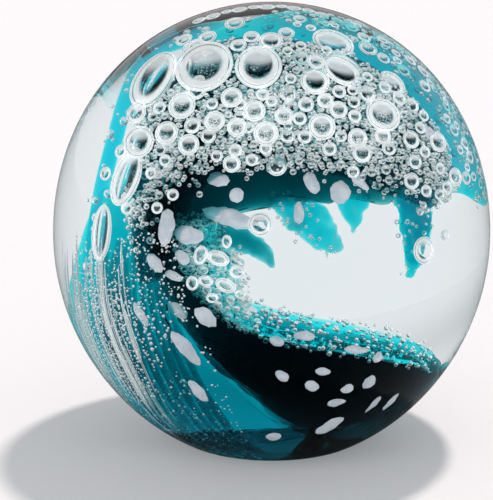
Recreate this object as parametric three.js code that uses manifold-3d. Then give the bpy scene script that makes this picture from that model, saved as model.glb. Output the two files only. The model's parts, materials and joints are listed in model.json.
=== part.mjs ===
// A solid glass paperweight: a clear ball on a ground flat, with a curling wave of coloured glass inside it.
// Units are millimetres, +Z is up, +X is to the right of someone who looks along +Y, and the origin is the
// centre of the flat that the ball stands on. The wave rises on the left and curls over to the right, round
// an open hollow that runs from front to back.
//
// Such a ball is built up in layers of hot glass, and each layer or inclusion is a mesh here: the clear
// casing, the base sheet and crest sheet of teal glass, the pool of denser glass in the foot, the ropes drawn
// down the flank, the dark curl and its rim, the foam glass with its air pockets, the veil at the side, the
// drips of the lip, the splash in the hollow, and the chips of white glass picked up on the wave's face.
import * as THREE from "three";
import { mergeVertices } from "three/addons/utils/BufferGeometryUtils.js";
import Module from "manifold-3d";

const wasm = await Module();
wasm.setup();

// Ball
const ballWidth = 90;
const waistHeight = 43.3; // from the flat up to the widest level
const crownHeight = 47.4; // from the widest level up to the top
const footWidth = 38; // the flat that the ball stands on
const crownFullness = 2.05; // 2 is an ellipse, more is fuller
const bellyFullness = 1.96;
const footBevel = 0.5; // the ground edge round the flat
const ballFacets = { sides: 36, rings: 15 };
const roomFacets = { sides: 24, rings: 10 }; // for the room inside the casing

// How the layers lie against each other
const casingWall = 2.6; // clear glass kept over everything inside
const clearRing = 6.6; // clear glass on the flat, round the foot of the wave
const seam = 0.3; // gap between neighbouring pieces
const weld = 1e-4; // points of one surface that are nearer than this are the same point

// Sections of the layered forms
const sectionSides = 10;
const sectionSquareness = 2.4; // 2 is an ellipse, more is squarer
const sheetSteps = 16; // sections along the base sheet
const endStretch = 0.02; // share of a layer's length that sets which way its end faces

// Ropes of denser glass, drawn down the left flank to the foot
const ropeCount = 8;
const ropeRadius = 1.5;
const ropeSunk = 0.35; // share of the radius that a rope's middle lies behind the base sheet's face
const ropeSteps = 8;

// Chips of white glass
const chipThickness = 1.8;

// Air pockets between the foam glass and the casing
const pocketSink = 0.35; // share of a pocket's radius that its centre lies behind the foam's face

const looks = {
  clear: { color: 0xe9f1f2, roughness: 0.02, metalness: 0 },
  teal: { color: 0x0a8a96, roughness: 0.05, metalness: 0 },
  dark: { color: 0x0a2e33, roughness: 0.05, metalness: 0 },
  cyan: { color: 0x14bfd4, roughness: 0.05, metalness: 0 },
  foam: { color: 0xd5e3e4, roughness: 0.15, metalness: 0 },
  white: { color: 0xc9cdd6, roughness: 0.35, metalness: 0 },
};

/**
 * A mesh's geometry as a solid that can be joined and cut.
 * @param {THREE.BufferGeometry} geometry closed, with faces pointing out
 */
function solidOf(geometry) {
  geometry.deleteAttribute("normal");
  geometry.deleteAttribute("uv");
  const merged = mergeVertices(geometry, weld);
  return new wasm.Manifold(
    new wasm.Mesh({
      numProp: 3,
      vertProperties: merged.attributes.position.array,
      triVerts: new Uint32Array(merged.index.array),
    }),
  );
}

/** A solid back as a geometry. */
function geometryOf(solid) {
  const mesh = solid.getMesh();
  const geometry = new THREE.BufferGeometry();
  geometry.setAttribute("position", new THREE.BufferAttribute(mesh.vertProperties, 3));
  geometry.setIndex(new THREE.BufferAttribute(mesh.triVerts, 1));
  geometry.computeVertexNormals();
  return geometry;
}

/** The largest of a solid's bodies, so that a cut leaves no loose slivers. */
function mainBody(solid) {
  return solid.decompose().reduce((a, b) => (a.volume() > b.volume() ? a : b));
}

/** The other side of a rounded corner: sqrt(1 - share * share) for an ellipse, and fuller for more than 2. */
function roundOff(share, fullness) {
  return (1 - share ** fullness) ** (1 / fullness);
}

/**
 * The ball's own round form, drawn in all round by `inset` and cut flat at the foot.
 * @param {number} inset distance inside the ball's face
 * @param {number} foot radius of the flat
 * @param {{sides: number, rings: number}} facets how finely it is drawn
 * @param {number} under how far below the flat it goes on, for a form that cuts through it
 */
function ball(inset, foot, { sides, rings }, under = 0) {
  const across = ballWidth / 2 - inset;
  const up = crownHeight - inset;
  // The belly's round would close this far below the widest level, if the flat didn't cut it off.
  const down = waistHeight / roundOff(footWidth / ballWidth, bellyFullness) - inset;
  const profile = [new THREE.Vector2(0, -under), new THREE.Vector2(foot - footBevel, -under)];
  const lowest = -Math.asin(roundOff(foot / across, bellyFullness));
  for (let i = 0; i < rings; i++) {
    const a = THREE.MathUtils.lerp(lowest, Math.PI / 2, i / rings);
    const share = Math.abs(Math.sin(a));
    const level = waistHeight + (a < 0 ? -down : up) * share;
    const radius = across * roundOff(share, a < 0 ? bellyFullness : crownFullness);
    profile.push(new THREE.Vector2(radius, Math.max(level, footBevel / 2)));
  }
  profile.push(new THREE.Vector2(0, waistHeight + up));
  return solidOf(new THREE.LatheGeometry(profile, sides).rotateX(Math.PI / 2));
}

/**
 * A layer of glass between an inner and an outer bent line, with rounded sections from one line to the other.
 * @param {number[][]} rows [inner x, inner z, outer x, outer z, depth of the middle, half thickness]
 * @param {number} steps how many sections
 * @param {number} grow how far the whole skin is moved outwards
 */
function layer(rows, steps, grow = 0) {
  const curve = (pick) =>
    new THREE.CatmullRomCurve3(
      rows.map((row) => new THREE.Vector3(...pick(row))),
      false,
      "catmullrom",
      0.5,
    );
  const inner = curve(([x, z, , , y]) => [x, y, z]);
  const outer = curve(([, , x, z, y]) => [x, y, z]);
  const depth = curve(([, , , , , half]) => [half, 0, 0]);
  const middle = (t) => inner.getPoint(t).lerp(outer.getPoint(t), 0.5);
  const rings = [];
  for (let i = 0; i <= steps; i++) {
    const t = i / steps;
    const across = outer.getPoint(t).sub(inner.getPoint(t));
    const wide = across.length() / 2 + grow;
    const centre = middle(t);
    if (i === 0) centre.add(middle(0).sub(middle(endStretch)).setLength(grow));
    if (i === steps) centre.add(middle(1).sub(middle(1 - endStretch)).setLength(grow));
    rings.push(section(centre, across.normalize(), wide, depth.getPoint(t).x + grow));
  }
  return solidOf(skin(rings));
}

/** A rounded outline round `centre`: `wide` to either side along `across`, `deep` to either side along Y. */
function section(centre, across, wide, deep) {
  const rounded = (v) => Math.sign(v) * Math.abs(v) ** (2 / sectionSquareness);
  const points = [];
  for (let k = 0; k < sectionSides; k++) {
    const a = (2 * Math.PI * k) / sectionSides;
    const point = centre.clone().addScaledVector(across, wide * rounded(Math.cos(a)));
    point.y += deep * rounded(Math.sin(a));
    points.push(point);
  }
  return points;
}

/** A closed geometry through rings of points, with a fan of faces over each end. */
function skin(rings) {
  const sides = rings[0].length;
  const points = rings.flat();
  const mean = (ring) => ring.reduce((sum, p) => sum.add(p), new THREE.Vector3()).divideScalar(sides);
  const first = points.push(mean(rings[0])) - 1;
  const last = points.push(mean(rings.at(-1))) - 1;
  const end = (rings.length - 1) * sides;
  const faces = [];
  for (let k = 0; k < sides; k++) {
    const next = (k + 1) % sides;
    for (let a = 0; a < end; a += sides) {
      const b = a + sides;
      faces.push(a + k, b + k, a + next, a + next, b + k, b + next);
    }
    faces.push(first, k, next, last, end + next, end + k);
  }
  return new THREE.BufferGeometry().setFromPoints(points).setIndex(faces);
}

/**
 * The point where a line along +Y at (x, z) first meets the wave, which is what someone in front sees.
 * @param {THREE.Mesh[]} faces what the line may meet
 */
function frontFace(x, z, faces) {
  const start = new THREE.Vector3(x, -ballWidth, z);
  const hit = new THREE.Raycaster(start, new THREE.Vector3(0, 1, 0)).intersectObjects(faces)[0];
  if (!hit) throw new Error(`nothing to lie on at ${x}, ${z}`);
  return hit.point;
}

/** A flattened, many-sided pebble of glass at `at`, `grow` larger all round than its size. */
function pebble(at, [, , long, wide, lean], grow = 0) {
  const shape = new THREE.OctahedronGeometry(1, 1)
    .scale(long / 2 + grow, chipThickness / 2 + grow, wide / 2 + grow)
    .rotateY(THREE.MathUtils.degToRad(-lean))
    .translate(at.x, at.y, at.z);
  return solidOf(shape);
}

// The layers, each as rows of [inner x, inner z, outer x, outer z, depth of the middle, half thickness].
const longDrip = [
  [17.9, 51, 24.4, 51, -5, 3],
  [18.9, 46, 24.2, 46, -5, 2.6],
  [19.4, 41.5, 22.8, 41.5, -5, 1.8],
  [19.4, 37.8, 20.6, 37.8, -5, 0.6],
];
const finDrip = [
  [-0.5, 51, 6.5, 51, -7, 2.2],
  [1.6, 47, 8.4, 48.6, -7, 2],
  [4.8, 43.8, 9.6, 46.4, -7, 1.5],
  [9, 42, 10.4, 43.2, -7, 0.6],
];
const stubDrip = [
  [9, 51, 14.5, 51, -6, 2],
  [10.5, 47.6, 13.4, 47.6, -6, 1.5],
  [11.4, 45.2, 12.2, 45.2, -6, 0.6],
];
const splashFinger = [
  [-8, 43.5, -8, 48, -7, 2.6],
  [-4, 42.4, -3.6, 46, -7, 2.2],
  [-1, 41, -0.2, 43, -7, 1.4],
  [-0.6, 39.6, 0.4, 40, -7, 0.6],
];
const splashMass = [
  [-14.5, 47.4, -7.5, 47.4, -9, 2.6],
  [-14, 42.4, -5.5, 42.4, -9, 3.4],
  [-11.5, 37.8, -4.6, 37.4, -9, 3.4],
  [-7, 33.4, -3.8, 33.6, -9, 2.6],
  [-3.6, 31, -2.4, 31.6, -9, 1.2],
];
const troughRim = [
  [25.2, 21.6, 24.6, 21.2, -4, 2],
  [23.4, 24.6, 22.6, 23.2, -4, 6],
  [18, 27.6, 17.6, 25.4, -4, 11],
  [10, 29.8, 9.6, 27.4, -4, 12.5],
  [2, 31.6, 1, 29, -4, 12],
  [-4, 33.8, -5.4, 31.4, -4, 11],
  [-7.6, 35.8, -9, 34.6, -4, 8],
];
const deepCurl = [
  [25, 22.5, 25.4, 20, -3, 2.5],
  [22.6, 25.2, 22, 15.5, -3, 9],
  [18.4, 27.4, 16.5, 12.6, -3, 13],
  [11, 29.4, 8.5, 11.6, -3, 15],
  [4, 31, 1.2, 15, -3, 15],
  [-1.6, 32.5, -5, 21.2, -3, 13],
  [-5.5, 34.4, -10.4, 27.4, -4, 11],
  [-8, 37.2, -15, 34, -4, 9.5],
  [-9, 41, -17.6, 41.5, -4, 9],
  [-8.7, 44.5, -17.6, 49.5, -4, 9],
  [-7, 47.2, -15.6, 55, -4, 8.5],
  [-3.1, 48.6, -10.6, 59.3, -4, 8],
  [1.9, 48.9, -3, 60.8, -4, 7.5],
  [8.4, 49.2, 7, 60, -4, 6.5],
  [15.8, 49.2, 15, 56, -4, 5],
  [21, 49, 20, 51.5, -4, 2],
];
const foamGlass = [
  [-16.5, 39.5, -20.5, 38, -11, 2],
  [-13.5, 45, -22, 44, -11, 4.2],
  [-12.5, 51, -22.5, 54, -11, 5],
  [-9.5, 54.5, -22.5, 65, -10.7, 5.8],
  [-5.5, 56, -17.5, 76.5, -10.7, 5.8],
  [0, 56.5, -5, 83.5, -10.5, 5.5],
  [7, 56, 9, 80.5, -10.2, 5.3],
  [14, 53.5, 20.5, 74.5, -9.7, 4.8],
  [20, 51, 28, 65.5, -9, 4],
  [24.5, 49.5, 31, 55, -7.8, 2.7],
];
const crestSheet = [
  [-12, 50, -20.8, 50.5, 2, 6.5],
  [-11, 51.5, -19.2, 60, 1, 5],
  [-8, 51.5, -16.5, 69, 0, 4.5],
  [-3, 51, -11, 77, 0, 4.5],
  [3, 50.5, -2, 83, 0, 4.5],
  [9, 50.2, 12, 87, 0, 5],
  [16, 50, 27, 81, 0.5, 5.5],
  [23, 49.6, 38, 69, 1, 5],
  [29.5, 48.8, 41, 57, 1, 4],
  [34.5, 47.5, 40, 49.5, 1, 2],
];
const baseSheet = [
  [26, 23.5, 31, 17, 0, 3],
  [20, 21, 26, 7, 0, 13],
  [10, 21, 16, -3, 0, 19],
  [1, 24, 3, -6, 1, 21],
  [-6, 28, -11, -2, 2, 20],
  [-11, 33, -21, 8, 2, 17],
  [-13, 37, -26, 18, 2, 14.5],
  [-13, 41, -27, 29, 2, 12],
  [-12.5, 45, -25, 39, 2.5, 10.5],
  [-12, 49, -23, 48, 3, 9],
];
const footPool = [
  [30, 15.5, 31, 14, 0, 3],
  [24.5, 17.5, 28, 7, -1, 13],
  [16, 17, 20, -2, -1, 18],
  [7, 13.5, 8, -5, -1, 21],
  [-3, 10.5, -4, -5, -1, 22],
  [-12, 8, -13, -3, -1, 19],
  [-19, 5.5, -20, 1, -1, 10],
  [-22, 4, -22.4, 3, -1, 3],
];
const sideVeil = [
  [-24.2, 33, -26.8, 31, 3, 0.6],
  [-23.4, 40, -26.2, 39.6, 3, 0.9],
  [-22.3, 49, -24.8, 49, 4, 0.9],
  [-21.2, 56, -23.8, 56, 4, 0.9],
  [-19.4, 63, -23.2, 63.6, 4.5, 0.9],
  [-17.6, 68.8, -21.6, 71.6, 6, 0.9],
  [-13.6, 70.4, -17, 74.6, 6.3, 0.9],
  [-9.3, 72.6, -10.8, 76.8, 6.5, 0.9],
  [-5.8, 74.8, -6.2, 76.4, 6.5, 0.5],
];

// The lines that the ropes follow, as [x, z] from the top down to the foot: the outermost and the innermost
// rope's, with the others spread evenly between them, and the rope's thickness there as a share of its full one.
const ropeOuter = [
  [-24.2, 43],
  [-25.8, 34],
  [-24.8, 23],
  [-20, 12],
  [-13, 5],
];
const ropeInner = [
  [-15.5, 46],
  [-15.8, 36],
  [-12.4, 25],
  [-7, 13],
  [-1, 5],
];
const ropeTaper = [0.4, 0.9, 1, 1, 0.8];

/**
 * One rope's rows, lying in the base sheet's face.
 * @param {number} share 0 for a rope along the outermost line, 1 for one along the innermost
 */
function ropeRows(share) {
  const sheet = [new THREE.Mesh(geometryOf(layer(baseSheet, sheetSteps)))];
  return ropeOuter.map(([outerX, outerZ], i) => {
    const [innerX, innerZ] = ropeInner[i];
    const x = THREE.MathUtils.lerp(outerX, innerX, share);
    const z = THREE.MathUtils.lerp(outerZ, innerZ, share);
    const radius = ropeRadius * ropeTaper[i];
    const depth = frontFace(x, z, sheet).y + radius * ropeSunk;
    return [x - radius, z, x + radius, z, depth, radius];
  });
}

const ropes = Array.from({ length: ropeCount }, (_, i) => ({
  name: `flank_rope_${i + 1}`,
  look: "dark",
  steps: ropeSteps,
  rows: ropeRows((i + 0.5) / ropeCount),
}));

// Innermost first: where two layers would share a place, the one listed first keeps it.
const layers = [
  { name: "long_drip", look: "cyan", steps: 5, rows: longDrip },
  { name: "fin_drip", look: "cyan", steps: 6, rows: finDrip },
  { name: "stub_drip", look: "cyan", steps: 4, rows: stubDrip },
  { name: "splash_finger", look: "teal", steps: 5, rows: splashFinger },
  { name: "splash_mass", look: "foam", steps: 6, rows: splashMass },
  { name: "trough_rim", look: "cyan", steps: 9, rows: troughRim },
  { name: "deep_curl", look: "dark", steps: 19, rows: deepCurl },
  { name: "foam_glass", look: "foam", steps: 15, rows: foamGlass },
  { name: "crest_sheet", look: "teal", steps: 14, rows: crestSheet },
  ...ropes,
  { name: "foot_pool", look: "dark", steps: 14, rows: footPool },
  { name: "base_sheet", look: "teal", steps: sheetSteps, rows: baseSheet },
  { name: "side_veil", look: "cyan", steps: 12, rows: sideVeil },
];

// Chips of white glass on the wave's face: [x, z, length, width, lean in degrees up to the right].
const chips = [
  [-17, 48.5, 6.8, 3, 85],
  [-18.5, 42, 4, 2.2, -50],
  [-14, 43, 3.2, 2.2, -50],
  [-15.2, 39.6, 3.4, 1.7, -20],
  [-13, 46.7, 5, 3.4, -15],
  [-6.5, 48.8, 9.5, 3.2, -18],
  [-5.6, 53, 3, 2.6, 60],
  [-8.4, 55.6, 4.2, 2.8, -5],
  [-14, 33.5, 4.2, 2.5, -40],
  [-10.4, 33.4, 4.8, 2.9, -40],
  [-20.5, 33, 5, 1.6, -60],
  [-13.5, 28, 8, 2.6, -50],
  [-12, 20.5, 5.5, 2.2, -50],
  [1.5, 24, 3, 2, -55],
  [8.2, 24.6, 3.2, 1.6, -8],
  [6.4, 22, 2.8, 2.1, -15],
  [17, 26.3, 2.2, 2, 90],
  [16, 22, 3, 2.2, 50],
  [12.3, 21, 2.6, 2, 30],
  [10.6, 18.4, 3.8, 1.6, 8],
  [10, 13, 6.2, 2.7, 35],
  [17, 17, 4.4, 1.4, 52],
  [20, 16.8, 5, 1.4, 52],
  [0.4, 11, 3, 2.5, 0],
  [5, 30.4, 4, 1.8, -5],
  [0.6, 29.6, 2.8, 2, -25],
  [13.5, 28, 4.4, 1.5, -8],
  [6.2, 54.7, 4.2, 2.3, -70],
  [10.4, 53, 4.2, 3.6, 80],
  [13.7, 55.3, 4.2, 1.8, -45],
  [4, 49.4, 4.2, 1.9, 90],
  [18.3, 53.4, 4.4, 2, -60],
  [23, 54.2, 4.6, 1.6, -60],
  [24.5, 61, 5, 1.8, -55],
  [12, 65, 2.6, 2, 20],
  [16.8, 62.2, 3.4, 2.6, -30],
  [27, 65, 5, 2, -25],
];

// Air pockets at the face of the foam glass: [x, z, radius].
const pockets = [
  [-12.3, 77.5, 5],
  [-2.7, 77.8, 4],
  [12, 76.5, 3.4],
  [6.6, 74.4, 2.3],
  [19, 68, 3.2],
  [8.2, 66.2, 2.1],
  [-1.1, 64.7, 2],
  [-4, 70, 2],
  [-9.9, 67.6, 1.8],
  [-16.2, 71, 2.4],
  [-18.8, 55.5, 3],
  [-18.4, 62, 2.4],
  [14.4, 61.4, 2],
  [1.6, 70.6, 2.1],
];

for (const form of layers) form.body = layer(form.rows, form.steps);
const foam = layers.find((form) => form.name === "foam_glass");

// Chips lie half sunk in the face that shows. The foam glass is no face for them to lie on, because the
// chips behind it were picked up before it was laid over them.
const waveFaces = layers
  .filter((form) => form !== foam)
  .map((form) => new THREE.Mesh(geometryOf(form.body)));
const chipPlaces = chips.map(([x, z]) => frontFace(x, z, waveFaces));
const coreFoot = footWidth / 2 - clearRing;
const room = ball(casingWall, coreFoot, roomFacets);
const chipBodies = chips.map((chip, i) => pebble(chipPlaces[i], chip).intersect(room));

const foamFace = [new THREE.Mesh(geometryOf(foam.body))];
for (const [x, z, radius] of pockets) {
  const centre = frontFace(x, z, foamFace);
  centre.y += radius * pocketSink;
  const air = new THREE.IcosahedronGeometry(radius, 1).translate(centre.x, centre.y, centre.z);
  foam.body = foam.body.subtract(solidOf(air));
}

let taken = wasm.Manifold.union(chips.map((chip, i) => pebble(chipPlaces[i], chip, seam)));
for (const form of layers) {
  form.body = mainBody(form.body.subtract(taken).intersect(room));
  taken = taken.add(layer(form.rows, form.steps, seam));
}
const cavity = taken.intersect(ball(casingWall - seam, coreFoot + seam, roomFacets, seam));
const casing = mainBody(ball(0, footWidth / 2, ballFacets).subtract(cavity));

const group = new THREE.Group();

/** Adds a solid to the group as a named mesh. */
function add(name, solid, look) {
  const mesh = new THREE.Mesh(geometryOf(solid), new THREE.MeshStandardMaterial(looks[look]));
  mesh.name = name;
  group.add(mesh);
}

add("clear_casing", casing, "clear");
for (const { name, body, look } of layers) add(name, body, look);
chipBodies.forEach((body, i) => add(`chip_${String(i + 1).padStart(2, "0")}`, body, "white"));

export default group;
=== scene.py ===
"""A clear glass ball with a curling wave of teal glass and air bubbles in it, on a pale studio floor.

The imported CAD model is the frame. Its layers and chips of glass are taken as the wave's true places: each
is melted smooth, stirred like hot glass and given its own glass, and the ball, the foam's bubbles, the
seeds and the drawn threads are made new, inside and around them.
"""
import sys

import json
import logging
import math
import random
from collections import defaultdict
from collections.abc import Callable, Iterator, Sequence
from dataclasses import dataclass, field
from enum import Enum

import bmesh
import bpy
from mathutils import Matrix, Vector, noise
from mathutils.bvhtree import BVHTree

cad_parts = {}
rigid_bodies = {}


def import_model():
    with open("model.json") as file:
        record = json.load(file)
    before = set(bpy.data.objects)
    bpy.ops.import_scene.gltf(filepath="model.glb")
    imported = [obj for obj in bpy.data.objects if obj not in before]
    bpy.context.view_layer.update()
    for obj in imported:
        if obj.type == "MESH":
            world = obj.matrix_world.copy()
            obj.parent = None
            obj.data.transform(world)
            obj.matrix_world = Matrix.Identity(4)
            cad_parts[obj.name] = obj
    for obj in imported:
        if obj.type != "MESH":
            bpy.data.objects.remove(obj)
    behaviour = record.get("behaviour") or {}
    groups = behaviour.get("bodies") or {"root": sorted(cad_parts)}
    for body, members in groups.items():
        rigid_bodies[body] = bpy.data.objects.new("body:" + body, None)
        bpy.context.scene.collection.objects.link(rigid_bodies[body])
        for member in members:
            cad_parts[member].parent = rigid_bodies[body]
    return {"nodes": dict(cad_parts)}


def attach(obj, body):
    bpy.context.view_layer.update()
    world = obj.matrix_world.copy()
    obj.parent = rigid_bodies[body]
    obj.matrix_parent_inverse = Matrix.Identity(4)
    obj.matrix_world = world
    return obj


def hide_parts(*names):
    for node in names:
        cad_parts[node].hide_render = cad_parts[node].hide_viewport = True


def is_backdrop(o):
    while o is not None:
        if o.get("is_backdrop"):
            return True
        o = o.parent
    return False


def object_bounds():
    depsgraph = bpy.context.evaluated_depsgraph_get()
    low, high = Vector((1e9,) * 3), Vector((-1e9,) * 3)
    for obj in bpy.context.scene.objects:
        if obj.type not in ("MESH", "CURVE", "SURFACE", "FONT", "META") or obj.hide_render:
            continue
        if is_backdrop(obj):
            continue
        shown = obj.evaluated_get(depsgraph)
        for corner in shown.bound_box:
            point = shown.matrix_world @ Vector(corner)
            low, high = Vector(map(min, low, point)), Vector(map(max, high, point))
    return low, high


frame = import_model()
cad_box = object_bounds()

LOG = logging.getLogger("glass_ball")

MM = 0.001
WELD = 1e-6  # metres: points nearer than this are one point
GLASS_IOR = 1.5
PHOTO_HEIGHT = 500  # pixels
FOOT_GAP = 0.3 * MM  # clear glass under the wave
LAYER_WALL = 1.2 * MM  # clear glass kept outside the wave and the seeds
CHIP_WALL = 1.0 * MM  # and outside the chips

Form = bmesh.types.BMesh
Point = tuple[float, float, float]
Tint = tuple[float, float, float]  # how much red, green and blue a metre of glass takes out
Colour = tuple[float, float, float, float]
WHITE: Colour = (1.0, 1.0, 1.0, 1.0)
Span = tuple[float, float]  # least and most
Knots = tuple[Point, ...]
Path = Callable[[float], Vector]  # from a share of a line, 0 to 1, to a point in metres
Ramp = tuple[float, float, float, float]  # where a change begins and ends, and the values there


class Slot(Enum):
    """The record's material slots."""

    CLEAR = "clear_glass"
    TEAL = "teal_glass"
    DARK = "dark_glass"
    CYAN = "cyan_glass"
    FOAM = "foam_glass"
    WHITE = "white_glass"


class Ray(Enum):
    """What kind of ray asks how bright the paper or the room is."""

    CAMERA = "Is Camera Ray"
    GLOSSY = "Is Glossy Ray"  # a ray that clear glass lets through counts as glossy too
    THROUGH = "Is Transmission Ray"


# Shader nodes


class Shade:
    """A socket's value, so that shader maths reads as plain Python."""

    def __init__(self, board: "NodeBoard", socket: bpy.types.NodeSocket) -> None:
        """Wraps one output socket of a board."""
        self.board = board
        self.socket = socket

    def _math(self, operation: str, left: "Shade | float", right: "Shade | float") -> "Shade":
        """One Math node on two values."""
        return self.board.shade("ShaderNodeMath", 0, {"operation": operation}, {0: left, 1: right})

    def __add__(self, other: "Shade | float") -> "Shade":
        """self + other"""
        return self._math("ADD", self, other)

    __radd__ = __add__

    def __sub__(self, other: "Shade | float") -> "Shade":
        """self - other"""
        return self._math("SUBTRACT", self, other)

    def __rsub__(self, other: float) -> "Shade":
        """other - self"""
        return self._math("SUBTRACT", other, self)

    def __mul__(self, other: "Shade | float") -> "Shade":
        """self * other"""
        return self._math("MULTIPLY", self, other)

    __rmul__ = __mul__

    def __gt__(self, other: "Shade | float") -> "Shade":
        """1 where self is greater than other, else 0"""
        return self._math("GREATER_THAN", self, other)

    def maximum(self, other: "Shade | float") -> "Shade":
        """The greater of the two."""
        return self._math("MAXIMUM", self, other)

    def ramp(self, low: float, high: float, start: float = 0.0, end: float = 1.0) -> "Shade":
        """Goes smoothly from start to end as self goes from low to high.

        Args:
            low: Value at which the change begins.
            high: Value at which it is complete.
            start: Result below low.
            end: Result above high.

        Returns:
            The eased value.
        """
        settings = {"interpolation_type": "SMOOTHSTEP"}
        sockets = {"Value": self, "From Min": low, "From Max": high, "To Min": start, "To Max": end}
        return self.board.shade("ShaderNodeMapRange", "Result", settings, sockets)


Value = Shade | float | tuple[float, ...]
Settings = dict[str, object] | None
Sockets = dict[str | int, Value] | None


class NodeBoard:
    """The nodes of one material or world."""

    def __init__(self, tree: bpy.types.NodeTree) -> None:
        """Starts on an empty tree."""
        self.tree = tree
        self.tree.nodes.clear()

    def node(self, kind: str, settings: Settings = None, sockets: Sockets = None) -> bpy.types.Node:
        """Adds a node.

        Args:
            kind: The node's type.
            settings: Its settings, which are set first.
            sockets: Values or links of its input sockets.

        Returns:
            The new node.
        """
        node = self.tree.nodes.new(kind)
        for name, setting in (settings or {}).items():
            setattr(node, name, setting)
        for name, value in (sockets or {}).items():
            if isinstance(value, Shade):
                self.tree.links.new(value.socket, node.inputs[name])
            else:
                node.inputs[name].default_value = value
        return node

    def shade(
        self, kind: str, output: str | int, settings: Settings = None, sockets: Sockets = None
    ) -> Shade:
        """Adds a node and gives one of its outputs, by name or number, for use in expressions."""
        return Shade(self, self.node(kind, settings, sockets).outputs[output])

    def principled(self, sockets: Sockets) -> Shade:
        """A Principled shader with these values or links."""
        return self.shade("ShaderNodeBsdfPrincipled", "BSDF", None, sockets)

    def see_through(self, ior: float, sockets: Sockets = None) -> Shade:
        """A polished surface that lets all the light through, but for what these sockets change."""
        polished = {"Base Color": WHITE, "Roughness": 0.0, "IOR": ior, "Transmission Weight": 1.0}
        return self.principled(polished | (sockets or {}))

    def layered(self, share: Shade, under: Shade, over: Shade) -> Shade:
        """Mixes two shaders by the share of the second."""
        return self.shade("ShaderNodeMixShader", 0, None, {0: share, 1: under, 2: over})

    def height(self, place: Shade) -> Shade:
        """The Z of a vector."""
        return self.shade("ShaderNodeSeparateXYZ", "Z", None, {"Vector": place})

    def place(self, squeeze: Point = (1.0, 1.0, 1.0), turn: Point = (0.0, 0.0, 0.0)) -> Shade:
        """The point on the piece in object coordinates.

        Args:
            squeeze: Scale of the pattern along each axis.
            turn: Rotation of the pattern.

        Returns:
            The point as a vector.
        """
        point = self.shade("ShaderNodeTexCoord", "Object")
        sockets = {"Vector": point, "Scale": squeeze, "Rotation": turn}
        return self.shade("ShaderNodeMapping", "Vector", None, sockets)

    def cloud(self, place: Shade, scale: float, detail: float = 3.0, swirl: float = 0.0) -> Shade:
        """Soft noise between 0 and 1, scale clouds to a metre, with finer layers, and stirred by swirl."""
        sockets = {"Vector": place, "Scale": scale, "Detail": detail, "Distortion": swirl}
        return self.shade("ShaderNodeTexNoise", "Fac", None, sockets)

    def blend(self, share: Shade, first: Colour, second: Colour) -> Shade:
        """Mixes two colours by the share of the second."""
        return self.shade("ShaderNodeMix", 2, {"data_type": "RGBA"}, {0: share, 6: first, 7: second})

    def bump(self, height: Shade, distance: float) -> Shade:
        """A Normal for small hills, where a height of 1 stands for a distance in metres."""
        return self.shade("ShaderNodeBump", "Normal", None, {"Height": height, "Distance": distance})

    def rays(self) -> tuple[Shade, Shade, Shade]:
        """Whether the camera looks straight, glass lets the ray through, or a polished face mirrors it.

        Returns:
            The three, of which the last two are 0 once a matt face has scattered the light.
        """
        camera, glossy, through = (self.shade("ShaderNodeLightPath", ray.value) for ray in Ray)
        unscattered = 1 - (self.shade("ShaderNodeLightPath", "Diffuse Depth") > 0.5)
        return camera, through * unscattered, (glossy - through).maximum(0.0) * unscattered

    def finish(self, surface: Shade, volume: Shade | None = None) -> None:
        """Joins the surface, and a volume if there is one, to the material's output."""
        sockets = {"Surface": surface} | ({"Volume": volume} if volume else {})
        self.node("ShaderNodeOutputMaterial", None, sockets)


# Finishes


def srgb(red: int, green: int, blue: int) -> Colour:
    """A colour as it is written in a picture, made linear."""
    channels = (value / 255 for value in (red, green, blue))
    return (*(v / 12.92 if v <= 0.04045 else ((v + 0.055) / 1.055) ** 2.4 for v in channels), 1.0)


def absorbing(board: NodeBoard, per_metre: Tint) -> Shade:
    """A clear body that takes out some of each colour.

    Args:
        board: The material's nodes.
        per_metre: Absorption of red, green and blue.

    Returns:
        The volume shader.
    """
    densest = max(per_metre)
    colour = tuple(1 - share / densest for share in per_metre)
    sockets = {"Color": (*colour, 1.0), "Density": densest}
    return board.shade("ShaderNodeVolumeAbsorption", 0, None, sockets)


@dataclass(frozen=True)
class Finish:
    """A finish that can be put on a piece."""

    name: str

    def dress(self, board: NodeBoard) -> None:
        """Lays out the material's nodes."""
        raise NotImplementedError

    def material(self) -> bpy.types.Material:
        """Makes the material, the first time that it is asked for.

        Returns:
            The material.
        """
        known = bpy.data.materials.get(self.name)
        if known:
            return known
        material = bpy.data.materials.new(self.name)
        material.use_nodes = True
        self.dress(NodeBoard(material.node_tree))
        return material


@dataclass(frozen=True)
class BallGlass(Finish):
    """The ball's polished clear glass, with its ground foot."""

    trace_of_grey: Tint = (2.4, 1.2, 1.0)
    mirror: Colour = (0.06, 0.06, 0.06, 1.0)  # share of its mirroring kept face on
    ground_up_to: float = 0.4 * MM
    ground_roughness: float = 0.35
    ripple: float = 0.01 * MM
    ripples_per_metre: float = 45.0
    ripple_detail: float = 1.0

    def dress(self, board: NodeBoard) -> None:
        """Polished all over but on the foot, and never quite flat.

        Args:
            board: The material's nodes.
        """
        roughness = board.height(board.place()).ramp(0.0, self.ground_up_to, self.ground_roughness, 0.0)
        ripples = board.cloud(board.place(), self.ripples_per_metre, self.ripple_detail)
        normal = board.bump(ripples, self.ripple)
        sockets = {"Roughness": roughness, "Specular Tint": self.mirror, "Normal": normal}
        board.finish(board.see_through(GLASS_IOR, sockets), absorbing(board, self.trace_of_grey))


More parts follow.
